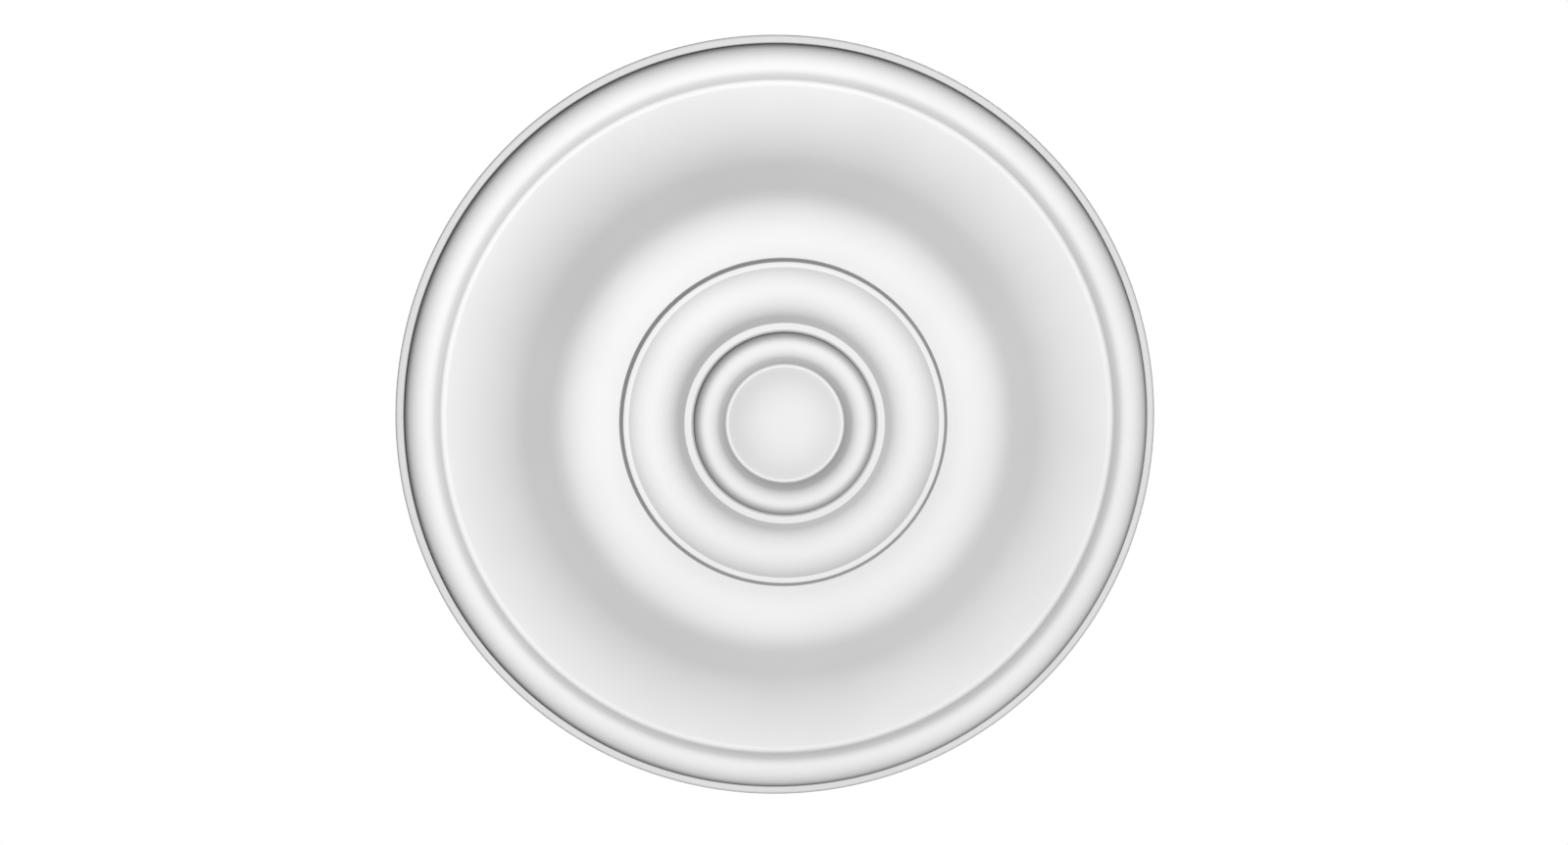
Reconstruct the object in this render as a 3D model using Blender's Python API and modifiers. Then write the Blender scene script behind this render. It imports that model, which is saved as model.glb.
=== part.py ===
"""A plain round ceiling rose: one moulding turned from one profile, drawn as it hangs.

The flat back meets the ceiling at z = 0 and the mouldings face down, towards -Z.
Every length is in metres and every angle in degrees.
"""

import bpy
import math

# Back of the moulding
LAND_WIDTH = 0.0300  # flat ring round the back's edge, which meets the ceiling
PAD_RADIUS = 0.0600  # flat round pad in the middle of the back
RECESS_DEPTH = 0.0035  # of the shallow ring between the land and the pad
RECESS_DRAFT = 45.0  # slope of the recess's two sides

# Edge and rim, from the outside inwards
EDGE_HEIGHT = 0.0010  # upright part of the flange's edge
ARRIS_WIDTH = 0.0011  # rounding between the edge and the band
ARRIS_HEIGHT = 0.0030
BAND_WIDTH = 0.0064
BAND_SLOPE = 32.0
RIM_BEAD_FALL = 0.0170  # width of the bead from its crown out to the band
RIM_BEAD_HEIGHT = 0.0220
RIM_BEAD_RADIUS = 0.0069  # of the bead's inner shoulder
RIM_BEAD_SLOPE = 41.0
RIM_FLANK_RADIUS = 0.0208
RIM_FLANK_SLOPE = 52.7
RIM_TOE_RADIUS = 0.0036
VALLEY_WIDTH = 0.0010

# Large sweep, hollow below and round above
HOLLOW_RADIUS = 0.1260
FOOT_SLOPE = 18.6
SWEEP_SLOPE = 47.7
SWEEP_RUN = 0.0174  # width of the straight stretch above the hollow
SHOULDER_RADIUS = 0.0840
SHOULDER_SLOPE = 42.2  # where the wide shoulder passes into the tighter nose
NOSE_RADIUS = 0.0365
NOSE_RETURN = 14.4  # how far the nose turns down again before the step
NOSE_RUN = 0.0040

# Step and cove
STEP_HEIGHT = 0.0071
STEP_SLOPE = 68.0
RING_WIDTH = 0.0031
COVE_OUTER_RADIUS = 0.0199
COVE_OUTER_SLOPE = 46.4
COVE_INNER_RADIUS = 0.0192
COVE_INNER_SLOPE = 53.1
COVE_RUN = 0.0042  # width of the straight lip at the cove's inner side
INNER_RING_WIDTH = 0.0054

# Inner bead and disc
BEAD_FALL = 0.0078
BEAD_HEIGHT = 0.0105
BEAD_RADIUS = 0.0092
BEAD_SLOPE = 58.0
BEAD_RUN = 0.0039
DISC_RING_WIDTH = 0.0017
DISC_EDGE_SLOPE = 31.6
DISC_EDGE_RADIUS = 0.1400  # of the disc's outer part, which is almost a straight slope
DISC_TURN_SLOPE = 28.6
DISC_TURN_RADIUS = 0.0448
DISC_FLAT_RADIUS = 0.00618  # of the disc's level middle

# Facets
TURN_STEPS = 76  # round the axis
CURVE_STEPS = 4  # of each small curve
ARRIS_STEPS = 3
RIM_BEAD_STEPS = 6
RIM_SHOULDER_STEPS = 3
TOE_STEPS = 2
HOLLOW_STEPS = 5
NOSE_STEPS = 6
DISC_STEPS = 3

WHITE = (0.83, 0.83, 0.82, 1.0)
ROUGHNESS = 0.55
SHARP_ANGLE = 25.0


def clear_scene():
    for old in list(bpy.data.objects):
        bpy.data.objects.remove(old, do_unlink=True)


def make_collection(name):
    collection = bpy.data.collections.new(name)
    bpy.context.scene.collection.children.link(collection)
    return collection


def make_material():
    material = bpy.data.materials.new("primed_white")
    material.use_nodes = True
    shader = material.node_tree.nodes["Principled BSDF"]
    shader.inputs["Base Color"].default_value = WHITE
    shader.inputs["Roughness"].default_value = ROUGHNESS
    shader.inputs["Metallic"].default_value = 0.0
    material.diffuse_color = WHITE
    return material


class Section:
    """The face's section, drawn from the rim towards the axis as (distance in, depth) points.

    A slope is positive where the face comes further out of the ceiling on its way in.
    """

    def __init__(self, depth):
        self.points = [(0.0, depth)]

    def go(self, inwards, deeper):
        x, y = self.points[-1]
        self.points.append((x + inwards, y + deeper))

    def flat(self, width):
        self.go(width, 0.0)

    def run(self, width, slope):
        self.go(width, width * math.tan(math.radians(slope)))

    def turn(self, radius, first_slope, last_slope, steps):
        """An arc that changes the slope from the first to the last."""
        x, y = self.points[-1]
        first = math.radians(first_slope)
        last = math.radians(last_slope)
        side = 1 if last > first else -1
        for i in range(1, steps + 1):
            slope = first + (last - first) * i / steps
            inwards = side * radius * (math.sin(slope) - math.sin(first))
            deeper = side * radius * (math.cos(first) - math.cos(slope))
            self.points.append((x + inwards, y + deeper))

    def bead(self, width, height, steps):
        """A quarter of an ellipse that stands upright at its foot and lies level at its crown."""
        x, y = self.points[-1]
        for i in range(1, steps + 1):
            angle = math.radians(90 * i / steps)
            self.points.append((x + width * (1 - math.cos(angle)), y + height * math.sin(angle)))


def face_section():
    """The whole face, from the upright edge to the middle of the disc."""
    s = Section(EDGE_HEIGHT)
    s.bead(ARRIS_WIDTH, ARRIS_HEIGHT, ARRIS_STEPS)
    s.run(BAND_WIDTH, BAND_SLOPE)
    s.bead(RIM_BEAD_FALL, RIM_BEAD_HEIGHT, RIM_BEAD_STEPS)
    s.turn(RIM_BEAD_RADIUS, 0.0, -RIM_BEAD_SLOPE, RIM_SHOULDER_STEPS)
    s.turn(RIM_FLANK_RADIUS, -RIM_BEAD_SLOPE, -RIM_FLANK_SLOPE, 1)
    s.turn(RIM_TOE_RADIUS, -RIM_FLANK_SLOPE, 0.0, TOE_STEPS)
    s.flat(VALLEY_WIDTH)
    s.turn(HOLLOW_RADIUS, FOOT_SLOPE, SWEEP_SLOPE, HOLLOW_STEPS)
    s.run(SWEEP_RUN, SWEEP_SLOPE)
    s.turn(SHOULDER_RADIUS, SWEEP_SLOPE, SHOULDER_SLOPE, 1)
    s.turn(NOSE_RADIUS, SHOULDER_SLOPE, -NOSE_RETURN, NOSE_STEPS)
    s.run(NOSE_RUN, -NOSE_RETURN)
    s.run(STEP_HEIGHT / math.tan(math.radians(STEP_SLOPE)), STEP_SLOPE)
    s.flat(RING_WIDTH)
    s.turn(COVE_OUTER_RADIUS, -COVE_OUTER_SLOPE, 0.0, CURVE_STEPS)
    s.turn(COVE_INNER_RADIUS, 0.0, COVE_INNER_SLOPE, CURVE_STEPS)
    s.run(COVE_RUN, COVE_INNER_SLOPE)
    s.flat(INNER_RING_WIDTH)
    s.bead(BEAD_FALL, BEAD_HEIGHT, CURVE_STEPS)
    s.turn(BEAD_RADIUS, 0.0, -BEAD_SLOPE, CURVE_STEPS)
    s.run(BEAD_RUN, -BEAD_SLOPE)
    s.flat(DISC_RING_WIDTH)
    s.turn(DISC_EDGE_RADIUS, DISC_EDGE_SLOPE, DISC_TURN_SLOPE, 1)
    s.turn(DISC_TURN_RADIUS, DISC_TURN_SLOPE, 0.0, DISC_STEPS)
    s.flat(DISC_FLAT_RADIUS)
    return s.points


def back_section(radius):
    """The back as (radius, depth) points, from the axis out to the edge."""
    side = RECESS_DEPTH / math.tan(math.radians(RECESS_DRAFT))
    recess_outer = radius - LAND_WIDTH
    return [
        (0.0, 0.0),
        (PAD_RADIUS, 0.0),
        (PAD_RADIUS + side, RECESS_DEPTH),
        (recess_outer - side, RECESS_DEPTH),
        (recess_outer, 0.0),
        (radius, 0.0),
    ]


def make_rose(collection):
    face = face_section()
    radius = face[-1][0]
    outline = back_section(radius)
    outline += [(radius - inwards, depth) for inwards, depth in face]
    outline[-1] = (0.0, face[-1][1])

    mesh = bpy.data.meshes.new("ceiling_rose")
    verts = [(r, 0.0, -depth) for r, depth in outline]
    edges = [(i, i + 1) for i in range(len(verts) - 1)]
    mesh.from_pydata(verts, edges, [])
    rose = bpy.data.objects.new("ceiling_rose", mesh)
    collection.objects.link(rose)

    screw = rose.modifiers.new("turn", "SCREW")
    screw.axis = "Z"
    screw.angle = math.radians(360)
    screw.steps = TURN_STEPS
    screw.render_steps = TURN_STEPS
    screw.use_merge_vertices = True
    screw.merge_threshold = 0.00002

    bpy.context.view_layer.update()
    graph = bpy.context.evaluated_depsgraph_get()
    turned = bpy.data.meshes.new_from_object(rose.evaluated_get(graph))
    rose.modifiers.clear()
    rose.data = turned
    bpy.data.meshes.remove(mesh)
    turned.name = "ceiling_rose"
    turned.shade_smooth()
    turned.set_sharp_from_angle(angle=math.radians(SHARP_ANGLE))
    turned.materials.append(make_material())
    return rose


def main():
    clear_scene()
    make_rose(make_collection("ceiling_rose"))


main()
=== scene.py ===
import bpy
import bmesh
import math
from mathutils import Matrix, Vector


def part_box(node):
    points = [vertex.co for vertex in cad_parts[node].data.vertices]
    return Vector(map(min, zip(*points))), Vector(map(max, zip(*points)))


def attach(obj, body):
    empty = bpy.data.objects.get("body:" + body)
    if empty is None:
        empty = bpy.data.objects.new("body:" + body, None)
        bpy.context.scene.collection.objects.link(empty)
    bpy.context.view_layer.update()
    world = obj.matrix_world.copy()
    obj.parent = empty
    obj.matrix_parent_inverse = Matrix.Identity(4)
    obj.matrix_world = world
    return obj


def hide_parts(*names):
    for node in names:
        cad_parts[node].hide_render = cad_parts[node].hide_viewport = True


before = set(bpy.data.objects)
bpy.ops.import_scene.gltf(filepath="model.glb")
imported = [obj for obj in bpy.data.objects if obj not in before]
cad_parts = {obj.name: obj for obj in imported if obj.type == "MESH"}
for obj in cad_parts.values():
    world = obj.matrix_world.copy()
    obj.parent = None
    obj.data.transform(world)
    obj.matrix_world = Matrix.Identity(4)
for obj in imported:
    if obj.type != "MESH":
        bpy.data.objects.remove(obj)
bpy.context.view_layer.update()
roseLow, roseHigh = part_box("ceiling_rose")
roseRadius = roseHigh.x
print("frame loaded, rose", round(2 * roseRadius, 4), "m across")


# Camera and lights

cameraSetup = {
    "lens": 43.12,  # mm, on a 36 mm sensor
    "distance": 1.126,  # from the middle of the disc
    "tilt": 3.35,  # degrees off the rose's axis
    "side": 42.4,  # which way it stands off the axis, in degrees from +X towards +Y
    "aim": (0.0009, 0.0009, -0.113),
    "transform": "Standard",
    "gamma": 0.84,
}

lightSetup = {
    "sunDistance": 3.0,  # where the suns stand, which changes nothing in the light
    "keyStrength": 2.95,
    "keyTilt": 4.3,  # the key comes almost along the axis, from the far side of the camera
    "keySide": 230.0,
    "keySoftness": 3.0,
    "washPower": 175.0,  # a weak beam that fades across the rose
    "washDistance": 5.0,
    "washSize": 0.15,
    "washCone": 26.0,
    "washAim": 0.81,  # how far off the middle it is aimed
    "washSide": 59.0,
    "topStrength": 2.1,  # lights only the back and the floor
    "topTilt": 20.0,
    "topSide": 300.0,
    "topSoftness": 12.0,
    "fill": 0.12,
}


def offAxis(tilt, side):
    # a direction below the rose, tilted off its axis
    t, s = math.radians(tilt), math.radians(side)
    return Vector((math.sin(t) * math.cos(s), math.sin(t) * math.sin(s), -math.cos(t)))


def aim(thing, target):
    # turns a camera or lamp to look at the target, with +Y upwards
    look = (target - thing.location).normalized()
    right = look.cross(Vector((0, 1, 0))).normalized()
    top = right.cross(look)
    thing.rotation_euler = Matrix((right, top, -look)).transposed().to_euler()


def makeCamera(setup):
    data = bpy.data.cameras.new("camera")
    data.lens = setup["lens"]
    camera = bpy.data.objects.new("camera", data)
    scene = bpy.context.scene
    scene.collection.objects.link(camera)
    target = Vector(setup["aim"])
    camera.location = target + setup["distance"] * offAxis(setup["tilt"], setup["side"])
    aim(camera, target)
    scene.camera = camera
    scene.view_settings.view_transform = setup["transform"]
    scene.view_settings.gamma = setup["gamma"]


def makeLamp(name, kind, place, strength, target=Vector((0, 0, 0))):
    data = bpy.data.lights.new(name, kind)
    data.energy = strength
    lamp = bpy.data.objects.new(name, data)
    bpy.context.scene.collection.objects.link(lamp)
    lamp.location = place
    aim(lamp, target)
    return lamp


def makeLights(setup):
    along = offAxis(setup["keyTilt"], setup["keySide"])
    key = makeLamp("key", "SUN", setup["sunDistance"] * along, setup["keyStrength"])
    key.data.angle = math.radians(setup["keySoftness"])
    side = math.radians(setup["washSide"])
    target = setup["washAim"] * Vector((math.cos(side), math.sin(side), 0))
    wash = makeLamp("wash", "SPOT", setup["washDistance"] * along, setup["washPower"], target)
    wash.data.shadow_soft_size = setup["washSize"]
    wash.data.spot_size = math.radians(setup["washCone"])
    wash.data.spot_blend = 1.0
    above = -setup["sunDistance"] * offAxis(setup["topTilt"], setup["topSide"])
    top = makeLamp("topSun", "SUN", above, setup["topStrength"])
    top.data.angle = math.radians(setup["topSoftness"])


def makeWorld(fill):
    # white behind the rose, a faint grey fill everywhere else
    world = bpy.data.worlds.new("studio")
    bpy.context.scene.world = world
    world.use_nodes = True
    nodes, links = world.node_tree.nodes, world.node_tree.links
    nodes.clear()
    rays = nodes.new("ShaderNodeLightPath")
    seen = nodes.new("ShaderNodeBackground")
    seen.inputs["Color"].default_value = (1, 1, 1, 1)
    unseen = nodes.new("ShaderNodeBackground")
    unseen.inputs["Color"].default_value = (1, 1, 1, 1)
    unseen.inputs["Strength"].default_value = fill
    mix = nodes.new("ShaderNodeMixShader")
    out = nodes.new("ShaderNodeOutputWorld")
    links.new(rays.outputs["Is Camera Ray"], mix.inputs["Fac"])
    links.new(unseen.outputs["Background"], mix.inputs[1])
    links.new(seen.outputs["Background"], mix.inputs[2])
    links.new(mix.outputs["Shader"], out.inputs["Surface"])


makeCamera(cameraSetup)
makeLights(lightSetup)
makeWorld(lightSetup["fill"])
print("camera and lights set")


# Shader groups

grainSetup = {
    "grainDetail": 4.0,
    "toneDetail": 3.0,
    "bareCells": 0.62,  # share of the cells that have no pinhole
}


def newGroup(name, inputs, outputs):
    group = bpy.data.node_groups.new(name, "ShaderNodeTree")
    for label, kind, value in inputs:
        socket = group.interface.new_socket(label, in_out="INPUT", socket_type=kind)
        if value is not None:
            socket.default_value = value
    for label, kind in outputs:
        group.interface.new_socket(label, in_out="OUTPUT", socket_type=kind)
    return group, group.nodes.new("NodeGroupInput"), group.nodes.new("NodeGroupOutput")


def addMath(nodes, operation, value=None):
    node = nodes.new("ShaderNodeMath")
    node.operation = operation
    if value is not None:
        node.inputs[1].default_value = value
    return node


def addVectorMath(nodes, operation):
    node = nodes.new("ShaderNodeVectorMath")
    node.operation = operation
    return node


def addRange(nodes, fromMin, fromMax, toMin, toMax, curve="LINEAR"):
    node = nodes.new("ShaderNodeMapRange")
    node.interpolation_type = curve
    node.inputs["From Min"].default_value = fromMin
    node.inputs["From Max"].default_value = fromMax
    node.inputs["To Min"].default_value = toMin
    node.inputs["To Max"].default_value = toMax
    return node


def addNoise(nodes, detail):
    node = nodes.new("ShaderNodeTexNoise")
    node.inputs["Detail"].default_value = detail
    return node


def addMix(nodes):
    node = nodes.new("ShaderNodeMix")
    node.data_type = "RGBA"
    return node


def makeGrainGroup(setup):
    # fine grain, pinholes and a slow change of tone
    group, start, end = newGroup(
        "mouldedGrain",
        [("Vector", "NodeSocketVector", None), ("Grain Scale", "NodeSocketFloat", 900.0),
         ("Pit Scale", "NodeSocketFloat", 160.0), ("Pit Size", "NodeSocketFloat", 0.12),
         ("Tone Scale", "NodeSocketFloat", 7.0)],
        [("Height", "NodeSocketFloat"), ("Pits", "NodeSocketFloat"), ("Tone", "NodeSocketFloat")])
    nodes, links = group.nodes, group.links
    grain = addNoise(nodes, setup["grainDetail"])
    links.new(start.outputs["Vector"], grain.inputs["Vector"])
    links.new(start.outputs["Grain Scale"], grain.inputs["Scale"])
    pit = nodes.new("ShaderNodeTexVoronoi")
    links.new(start.outputs["Vector"], pit.inputs["Vector"])
    links.new(start.outputs["Pit Scale"], pit.inputs["Scale"])
    hole = addRange(nodes, 0.0, 1.0, 1.0, 0.0, "SMOOTHSTEP")
    links.new(pit.outputs["Distance"], hole.inputs["Value"])
    links.new(start.outputs["Pit Size"], hole.inputs["From Max"])
    some = addMath(nodes, "GREATER_THAN", setup["bareCells"])
    split = nodes.new("ShaderNodeSeparateColor")
    links.new(pit.outputs["Color"], split.inputs["Color"])
    links.new(split.outputs["Red"], some.inputs[0])
    pits = addMath(nodes, "MULTIPLY")
    links.new(hole.outputs["Result"], pits.inputs[0])
    links.new(some.outputs["Value"], pits.inputs[1])
    height = addMath(nodes, "SUBTRACT")
    links.new(grain.outputs["Fac"], height.inputs[0])
    links.new(pits.outputs["Value"], height.inputs[1])
    tone = addNoise(nodes, setup["toneDetail"])
    links.new(start.outputs["Vector"], tone.inputs["Vector"])
    links.new(start.outputs["Tone Scale"], tone.inputs["Scale"])
    links.new(height.outputs["Value"], end.inputs["Height"])
    links.new(pits.outputs["Value"], end.inputs["Pits"])
    links.new(tone.outputs["Fac"], end.inputs["Tone"])
    return group


def makeRingGroup():
    # a soft ring of painted shade round the axis, to multiply a colour by: 1 in the open and less
    # at the ring
    group, start, end = newGroup(
        "paintedRingShade",
        [("Vector", "NodeSocketVector", None), ("Radius", "NodeSocketFloat", 0.1),
         ("Reach", "NodeSocketFloat", 0.001), ("Depth", "NodeSocketFloat", 0.5)],
        [("Shade", "NodeSocketFloat")])
    nodes, links = group.nodes, group.links
    level = addVectorMath(nodes, "MULTIPLY")
    level.inputs[1].default_value = (1, 1, 0)
    links.new(start.outputs["Vector"], level.inputs[0])
    length = addVectorMath(nodes, "LENGTH")
    links.new(level.outputs["Vector"], length.inputs[0])
    away = addMath(nodes, "SUBTRACT")
    links.new(length.outputs["Value"], away.inputs[0])
    links.new(start.outputs["Radius"], away.inputs[1])
    apart = addMath(nodes, "ABSOLUTE")
    links.new(away.outputs["Value"], apart.inputs[0])
    least = addMath(nodes, "SUBTRACT")
    least.inputs[0].default_value = 1.0
    links.new(start.outputs["Depth"], least.inputs[1])
    ramp = addRange(nodes, 0.0, 1.0, 0.0, 1.0, "SMOOTHSTEP")
    links.new(apart.outputs["Value"], ramp.inputs["Value"])
    links.new(start.outputs["Reach"], ramp.inputs["From Max"])
    links.new(least.outputs["Value"], ramp.inputs["To Min"])
    links.new(ramp.outputs["Result"], end.inputs["Shade"])
    return group


grainGroup = makeGrainGroup(grainSetup)
ringGroup = makeRingGroup()


# Materials

def newMaterial(name):
    material = bpy.data.materials.new(name)
    material.use_nodes = True
    nodes, links = material.node_tree.nodes, material.node_tree.links
    return material, nodes, links, nodes["Principled BSDF"]


def placeGrain(nodes, links, vector, look):
    grain = nodes.new("ShaderNodeGroup")
    grain.node_tree = grainGroup
    grain.inputs["Grain Scale"].default_value = look["grainScale"]
    grain.inputs["Pit Scale"].default_value = look["pitScale"]
    grain.inputs["Pit Size"].default_value = look["pitSize"]
    grain.inputs["Tone Scale"].default_value = look["toneScale"]
    links.new(vector, grain.inputs["Vector"])
    return grain


def blendColours(nodes, links, factor, look):
    # from the look's dark colour to its light one
    blend = addMix(nodes)
    blend.inputs["A"].default_value = look["dark"]
    blend.inputs["B"].default_value = look["light"]
    links.new(factor, blend.inputs["Factor"])
    return blend.outputs["Result"]


def addBump(nodes, links, height, look, shader):
    bump = nodes.new("ShaderNodeBump")
    bump.inputs["Distance"].default_value = look["bumpDepth"]
    bump.inputs["Strength"].default_value = look["bumpStrength"]
    links.new(height, bump.inputs["Height"])
    links.new(bump.outputs["Normal"], shader.inputs["Normal"])


def paintShadeRings(nodes, links, vector, colour, rings):
    # the colour dimmed by every ring of painted shade in turn
    for radius, reach, depth in rings:
        ring = nodes.new("ShaderNodeGroup")
        ring.node_tree = ringGroup
        ring.inputs["Radius"].default_value = radius
        ring.inputs["Reach"].default_value = reach
        ring.inputs["Depth"].default_value = depth
        links.new(vector, ring.inputs["Vector"])
        dimmed = addVectorMath(nodes, "SCALE")
        links.new(colour, dimmed.inputs[0])
        links.new(ring.outputs["Shade"], dimmed.inputs["Scale"])
        colour = dimmed.outputs["Vector"]
    return colour


def holdBounce(nodes, links, colour, bounced):
    # the colour as seen, but dimmer to light that has already bounced once
    rays = nodes.new("ShaderNodeLightPath")
    held = addMix(nodes)
    held.inputs["B"].default_value = bounced
    links.new(rays.outputs["Is Diffuse Ray"], held.inputs["Factor"])
    links.new(colour, held.inputs["A"])
    return held.outputs["Result"]


primerLook = {
    "light": (0.845, 0.845, 0.845, 1),
    "dark": (0.815, 0.815, 0.815, 1),
    "bounced": (0.10, 0.10, 0.10, 1),  # keeps the narrow hollows dark
    "rings": [  # radius, reach and depth of the painted shade in each crease
        (0.2498, 0.0022, 0.40),  # edge
        (0.2432, 0.0016, 0.91),  # foot of the rim bead
        (0.2412, 0.0038, 0.22),
        (0.0989, 0.0045, 0.09),  # foot of the step
        (0.0989, 0.0020, 0.10),
        (0.0590, 0.0045, 0.03),  # ring outside the inner bead
        (0.0556, 0.0016, 0.38),  # foot of the inner bead
        (0.0532, 0.0042, 0.18),
        (0.0366, 0.0022, 0.12),  # ring round the disc
        (0.0354, 0.0010, 0.08),
        (0.0, 0.1700, 0.058),  # painted shade: a little less light in the middle
    ],
    "grainScale": 420.0,
    "pitScale": 60.0,
    "pitSize": 0.02,
    "toneScale": 9.0,
    "toneSpread": (0.35, 0.65),  # tones between these pass from dark to light
    "roughSpread": (0.3, 0.7),  # and between these from the low roughness to the high one
    "roughLow": 0.58,
    "roughHigh": 0.70,
    "bumpDepth": 0.00006,
    "bumpStrength": 0.35,
    "specular": 0.15,
}

# bare skin of the mould in the recess behind, where no crease shade is painted
skinLook = {
    **primerLook,
    "light": (0.80, 0.80, 0.785, 1),
    "dark": (0.755, 0.755, 0.738, 1),
    "rings": [],
    "pitSize": 0.10,
    "bumpDepth": 0.00025,
    "bumpStrength": 0.5,
}


def makePrimer(name, look):
    # matt white primer with a fine orange peel
    material, nodes, links, shader = newMaterial(name)
    where = nodes.new("ShaderNodeTexCoord").outputs["Object"]
    grain = placeGrain(nodes, links, where, look)
    spread = addRange(nodes, *look["toneSpread"], 0.0, 1.0)
    links.new(grain.outputs["Tone"], spread.inputs["Value"])
    colour = blendColours(nodes, links, spread.outputs["Result"], look)
    # rings of painted shade in the creases, and a little in the middle, darken the primer's
    # colour
    colour = paintShadeRings(nodes, links, where, colour, look["rings"])
    colour = holdBounce(nodes, links, colour, look["bounced"])
    links.new(colour, shader.inputs["Base Color"])
    rough = addRange(nodes, *look["roughSpread"], look["roughLow"], look["roughHigh"])
    links.new(grain.outputs["Tone"], rough.inputs["Value"])
    links.new(rough.outputs["Result"], shader.inputs["Roughness"])
    addBump(nodes, links, grain.outputs["Height"], look, shader)
    shader.inputs["Specular IOR Level"].default_value = look["specular"]
    return material


foamLook = {
    "light": (0.80, 0.77, 0.70, 1),
    "dark": (0.70, 0.66, 0.57, 1),
    "pit": (0.45, 0.40, 0.32, 1),
    "grainScale": 700.0,
    "pitScale": 420.0,
    "pitSize": 0.38,
    "toneScale": 16.0,
    "scratchTurn": 24.0,
    "scratchScale": (6, 620, 1),  # long and thin
    "scratchDetail": 3.0,
    "toneSpread": (0.12, 0.4),
    "roughness": 0.9,
    "bumpDepth": 0.0004,
    "bumpStrength": 0.6,
    "specular": 0.2,
}


def makeFoam(look):
    # the moulding's own foam, sanded flat where it meets the ceiling
    material, nodes, links, shader = newMaterial("sandedFoam")
    where = nodes.new("ShaderNodeTexCoord").outputs["Object"]
    grain = placeGrain(nodes, links, where, look)
    turn = nodes.new("ShaderNodeMapping")
    turn.inputs["Rotation"].default_value = (0, 0, math.radians(look["scratchTurn"]))
    turn.inputs["Scale"].default_value = look["scratchScale"]
    links.new(where, turn.inputs["Vector"])
    scratch = addNoise(nodes, look["scratchDetail"])
    scratch.inputs["Scale"].default_value = 1.0
    links.new(turn.outputs["Vector"], scratch.inputs["Vector"])
    blend = addMath(nodes, "MULTIPLY")
    links.new(scratch.outputs["Fac"], blend.inputs[0])
    links.new(grain.outputs["Tone"], blend.inputs[1])
    spread = addRange(nodes, *look["toneSpread"], 0.0, 1.0)
    links.new(blend.outputs["Value"], spread.inputs["Value"])
    pitted = addMix(nodes)
    pitted.inputs["B"].default_value = look["pit"]
    links.new(blendColours(nodes, links, spread.outputs["Result"], look), pitted.inputs["A"])
    links.new(grain.outputs["Pits"], pitted.inputs["Factor"])
    links.new(pitted.outputs["Result"], shader.inputs["Base Color"])
    shader.inputs["Roughness"].default_value = look["roughness"]
    relief = addMath(nodes, "ADD")
    links.new(grain.outputs["Height"], relief.inputs[0])
    links.new(scratch.outputs["Fac"], relief.inputs[1])
    addBump(nodes, links, relief.outputs["Value"], look, shader)
    shader.inputs["Specular IOR Level"].default_value = look["specular"]
    return material


whitePrimer = makePrimer("whitePrimer", primerLook)
mouldedSkin = makePrimer("mouldedSkin", skinLook)
sandedFoam = makeFoam(foamLook)
print("materials made")


# The rose, turned from one outline that runs from the rim inwards

roseSizes = {
    "landWidth": 0.0300,
    "padRadius": 0.0600,
    "recessDepth": 0.0035,
    "recessDraft": 45.0,
    "edgeHeight": 0.0010,
    "edgeArrisWidth": 0.0011,
    "edgeArrisHeight": 0.0030,
    "bandWidth": 0.0064,
    "bandSlope": 32.0,
    "rimBeadFall": 0.0170,
    "rimBeadHeight": 0.0220,
    "rimBeadRadius": 0.0069,
    "rimBeadSlope": 41.0,
    "rimFlankRadius": 0.0208,
    "rimFlankSlope": 52.7,
    "rimToeRadius": 0.0036,
    "valleyWidth": 0.0010,
    "hollowRadius": 0.1260,
    "footSlope": 18.6,
    "sweepSlope": 47.7,
    "sweepRun": 0.0174,
    "shoulderRadius": 0.0840,
    "shoulderSlope": 42.2,
    "noseRadius": 0.0365,
    "noseReturn": 14.4,
    "noseRun": 0.0040,
    "stepHeight": 0.0071,
    "stepSlope": 68.0,
    "ringWidth": 0.0031,
    "coveOuterRadius": 0.0199,
    "coveOuterSlope": 46.4,
    "coveInnerRadius": 0.0192,
    "coveInnerSlope": 53.1,
    "coveRun": 0.0042,
    "innerRingWidth": 0.0054,
    "beadFall": 0.0078,
    "beadHeight": 0.0105,
    "beadRadius": 0.0092,
    "beadSlope": 58.0,
    "beadRun": 0.0039,
    "discRingWidth": 0.0017,
    "discEdgeSlope": 31.6,
    "discEdgeRadius": 0.1400,
    "discTurnSlope": 28.6,
    "discTurnRadius": 0.0448,
    "turnSteps": 360,
    "arrisWidth": 0.0006,  # how far the arrises are eased
    "arrisAngle": 13.0,  # corners sharper than this are eased
    "edgeRoom": 0.0012,  # keeps the shading of flats level up to their arrises
    "runRoom": 0.0010,  # the same on the inner bead's straight run
    "narrowRoom": 0.0008,  # and on the narrowest flats
}

# degrees that the outline turns at each point of a curve
curveSteps = {
    "arris": 15,
    "bead": 3.5,
    "toe": 7,
    "sweep": 1.5,
    "nose": 2.5,
    "innerBead": 6,
    "innerShoulder": 5,
    "discEdge": 1,
    "discTurn": 2.5,
}

mergeDistance = 0.00001
levelLimit = 0.00002  # a face this close to the ceiling plane is sanded foam
facingUp = 0.2  # a face whose normal rises more than this is behind the rose


def goSlope(outline, width, slope, room):
    # a straight run with a point just inside each end, where it is long enough
    x, y = outline[-1]
    grade = math.tan(math.radians(slope))
    stops = [room, width - room] if width > 3 * room else []
    for stop in stops + [width]:
        outline.append((x + stop, y + stop * grade))


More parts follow.
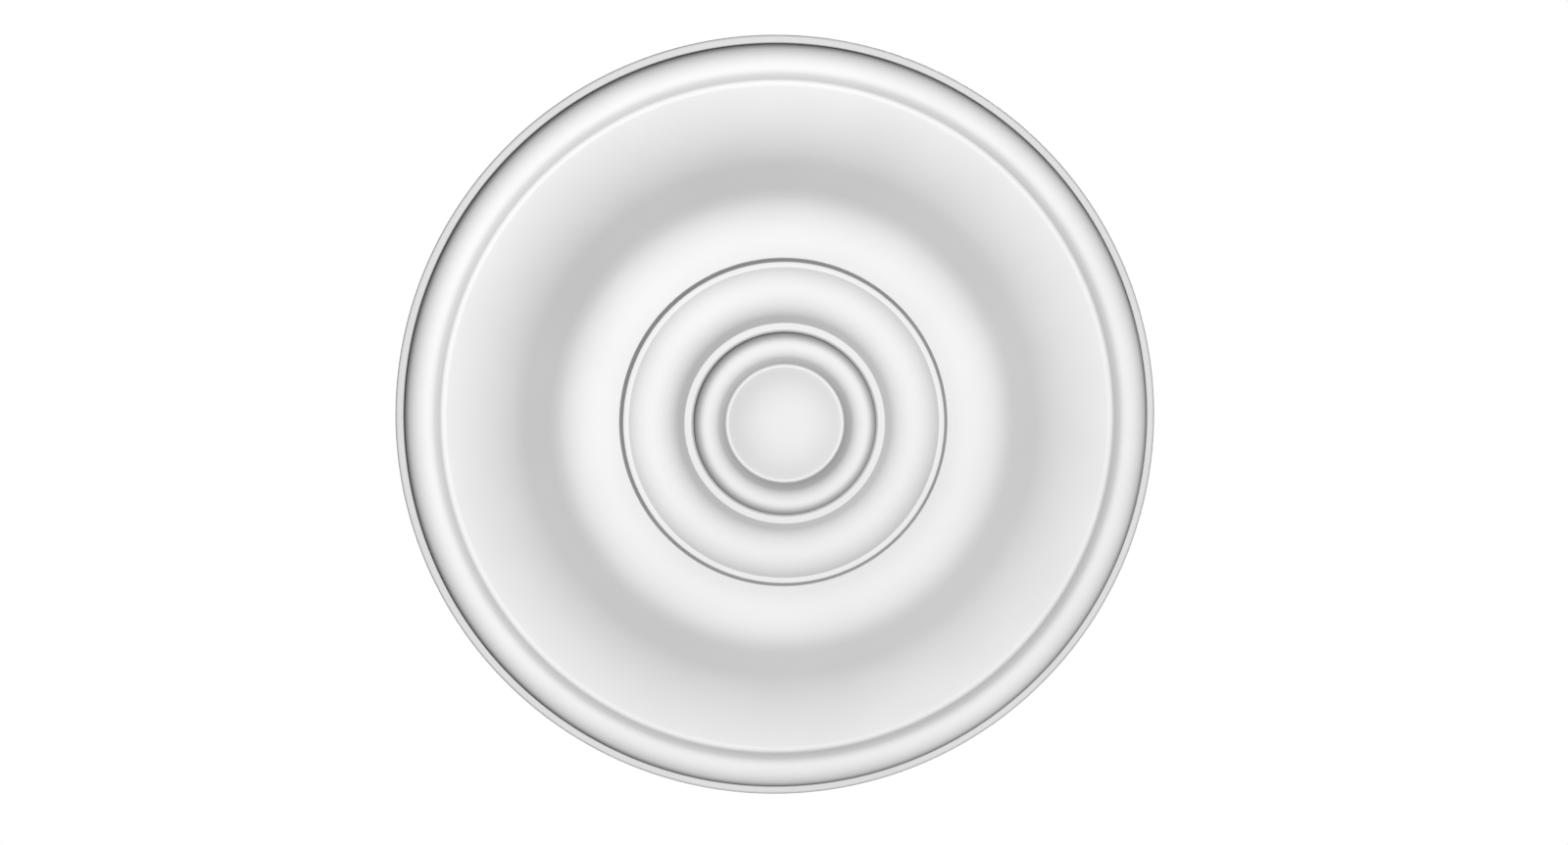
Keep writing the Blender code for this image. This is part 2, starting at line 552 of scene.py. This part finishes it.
def goArc(outline, radius, firstSlope, lastSlope, stepAngle):
    # an arc from the first slope to the last
    x, y = outline[-1]
    first, last = math.radians(firstSlope), math.radians(lastSlope)
    side = 1 if last > first else -1
    steps = max(3, round(abs(lastSlope - firstSlope) / stepAngle))
    for i in range(1, steps + 1):
        slope = first + (last - first) * i / steps
        inwards = side * radius * (math.sin(slope) - math.sin(first))
        deeper = side * radius * (math.cos(first) - math.cos(slope))
        outline.append((x + inwards, y + deeper))


def goBead(outline, width, height, stepAngle):
    # a quarter of an ellipse, upright at its foot and level at its crown
    x, y = outline[-1]
    steps = round(90 / stepAngle)
    for i in range(1, steps + 1):
        angle = math.radians(90 * i / steps)
        outline.append((x + width * (1 - math.cos(angle)), y + height * math.sin(angle)))


def faceOutline(s, steps, radius):
    # as distance in from the edge and depth below the ceiling
    room, narrow = s["edgeRoom"], s["narrowRoom"]
    stepWidth = s["stepHeight"] / math.tan(math.radians(s["stepSlope"]))
    line = [(0.0, s["edgeHeight"])]
    goBead(line, s["edgeArrisWidth"], s["edgeArrisHeight"], steps["arris"])
    goSlope(line, s["bandWidth"], s["bandSlope"], room)
    goBead(line, s["rimBeadFall"], s["rimBeadHeight"], steps["bead"])
    goArc(line, s["rimBeadRadius"], 0, -s["rimBeadSlope"], steps["bead"])
    goArc(line, s["rimFlankRadius"], -s["rimBeadSlope"], -s["rimFlankSlope"], steps["bead"])
    goArc(line, s["rimToeRadius"], -s["rimFlankSlope"], 0, steps["toe"])
    goSlope(line, s["valleyWidth"], 0, narrow)
    goArc(line, s["hollowRadius"], s["footSlope"], s["sweepSlope"], steps["sweep"])
    goSlope(line, s["sweepRun"], s["sweepSlope"], room)
    goArc(line, s["shoulderRadius"], s["sweepSlope"], s["shoulderSlope"], steps["sweep"])
    goArc(line, s["noseRadius"], s["shoulderSlope"], -s["noseReturn"], steps["nose"])
    goSlope(line, s["noseRun"], -s["noseReturn"], room)
    goSlope(line, stepWidth, s["stepSlope"], narrow)
    goSlope(line, s["ringWidth"], 0, room)
    goArc(line, s["coveOuterRadius"], -s["coveOuterSlope"], 0, steps["bead"])
    goArc(line, s["coveInnerRadius"], 0, s["coveInnerSlope"], steps["bead"])
    goSlope(line, s["coveRun"], s["coveInnerSlope"], narrow)
    goSlope(line, s["innerRingWidth"], 0, room)
    goBead(line, s["beadFall"], s["beadHeight"], steps["innerBead"])
    goArc(line, s["beadRadius"], 0, -s["beadSlope"], steps["innerShoulder"])
    goSlope(line, s["beadRun"], -s["beadSlope"], s["runRoom"])
    goSlope(line, s["discRingWidth"], 0, narrow)
    goArc(line, s["discEdgeRadius"], s["discEdgeSlope"], s["discTurnSlope"], steps["discEdge"])
    goArc(line, s["discTurnRadius"], s["discTurnSlope"], 0, steps["discTurn"])
    goSlope(line, radius - line[-1][0], 0, room)
    return line


def backOutline(s, radius):
    # from the axis out to the edge, as radius and depth
    side = s["recessDepth"] / math.tan(math.radians(s["recessDraft"]))
    room = s["edgeRoom"]
    outer = radius - s["landWidth"]
    pad, deep = s["padRadius"], s["recessDepth"]
    return [(0, 0), (pad - room, 0), (pad, 0), (pad + side, deep), (pad + side + room, deep),
            (outer - side - room, deep), (outer - side, deep), (outer, 0), (outer + room, 0),
            (radius - room, 0), (radius, 0)]


def turnRose(s, steps, radius):
    outline = backOutline(s, radius)
    outline += [(radius - x, y) for x, y in faceOutline(s, steps, radius)]
    outline[-1] = (0, outline[-1][1])
    bm = bmesh.new()
    dots = [bm.verts.new((r, 0, -depth)) for r, depth in outline]
    wires = [bm.edges.new(pair) for pair in zip(dots, dots[1:])]
    bmesh.ops.spin(bm, geom=dots + wires, cent=(0, 0, 0), axis=(0, 0, 1), angle=2 * math.pi,
                   steps=s["turnSteps"], use_merge=True)
    bmesh.ops.remove_doubles(bm, verts=bm.verts, dist=mergeDistance)
    bmesh.ops.recalc_face_normals(bm, faces=bm.faces)
    sharp = math.radians(s["arrisAngle"])
    arrises = [e for e in bm.edges if e.is_manifold and e.calc_face_angle() > sharp]
    bmesh.ops.bevel(bm, geom=arrises, offset=s["arrisWidth"], offset_type="OFFSET", segments=3,
                    profile=0.5, affect="EDGES", clamp_overlap=True, material=-1)
    bmesh.ops.recalc_face_normals(bm, faces=bm.faces)
    for face in bm.faces:
        face.smooth = True
        level = max(abs(v.co.z) for v in face.verts) < levelLimit
        behind = face.normal.z > facingUp
        face.material_index = 1 if level else 2 if behind else 0
    mesh = bpy.data.meshes.new("roseMoulding")
    bm.to_mesh(mesh)
    bm.free()
    for material in (whitePrimer, sandedFoam, mouldedSkin):
        mesh.materials.append(material)
    rose = bpy.data.objects.new("roseMoulding", mesh)
    bpy.context.scene.collection.objects.link(rose)
    return rose


rose = turnRose(roseSizes, curveSteps, roseRadius)
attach(rose, "root")
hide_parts("ceiling_rose")
print("rose turned:", len(rose.data.polygons), "faces")


# Floor

floorSetup = {
    "depth": 1.6,  # below the ceiling
    "radius": 24.0,
    "segments": 128,
    "fadeFrom": 4.0,  # fades out between these two distances
    "fadeTo": 21.6,
    "colour": (0.86, 0.86, 0.85, 1),
    "roughness": 0.8,
    "glow": 0.16,
    "back": 0.08,  # the little light that it gives back to the rose
}


def makeFloor(setup):
    bm = bmesh.new()
    bmesh.ops.create_circle(bm, cap_ends=True, segments=setup["segments"],
                            radius=setup["radius"])
    bmesh.ops.translate(bm, verts=bm.verts, vec=(0, 0, -setup["depth"]))
    mesh = bpy.data.meshes.new("floor")
    bm.to_mesh(mesh)
    bm.free()
    floor = bpy.data.objects.new("floor", mesh)
    bpy.context.scene.collection.objects.link(floor)
    material, nodes, links, shader = newMaterial("paleFloor")
    shader.inputs["Base Color"].default_value = setup["colour"]
    shader.inputs["Roughness"].default_value = setup["roughness"]
    shader.inputs["Emission Color"].default_value = setup["colour"]
    shader.inputs["Emission Strength"].default_value = setup["glow"]
    where = nodes.new("ShaderNodeTexCoord")
    length = addVectorMath(nodes, "LENGTH")
    links.new(where.outputs["Object"], length.inputs[0])
    fade = addRange(nodes, setup["fadeFrom"], setup["fadeTo"], 0.0, 1.0)
    links.new(length.outputs["Value"], fade.inputs["Value"])
    clear = nodes.new("ShaderNodeBsdfTransparent")
    faded = nodes.new("ShaderNodeMixShader")
    links.new(fade.outputs["Result"], faded.inputs["Fac"])
    links.new(shader.outputs["BSDF"], faded.inputs[1])
    links.new(clear.outputs["BSDF"], faded.inputs[2])
    givenBack = nodes.new("ShaderNodeEmission")
    givenBack.inputs["Strength"].default_value = setup["back"]
    rays = nodes.new("ShaderNodeLightPath")
    shown = nodes.new("ShaderNodeMixShader")
    links.new(rays.outputs["Is Camera Ray"], shown.inputs["Fac"])
    links.new(givenBack.outputs["Emission"], shown.inputs[1])
    links.new(faded.outputs["Shader"], shown.inputs[2])
    links.new(shown.outputs["Shader"], nodes["Material Output"].inputs["Surface"])
    mesh.materials.append(material)
    floor.visible_shadow = False  # the key shines up through it
    return floor


makeFloor(floorSetup)
print("floor laid")
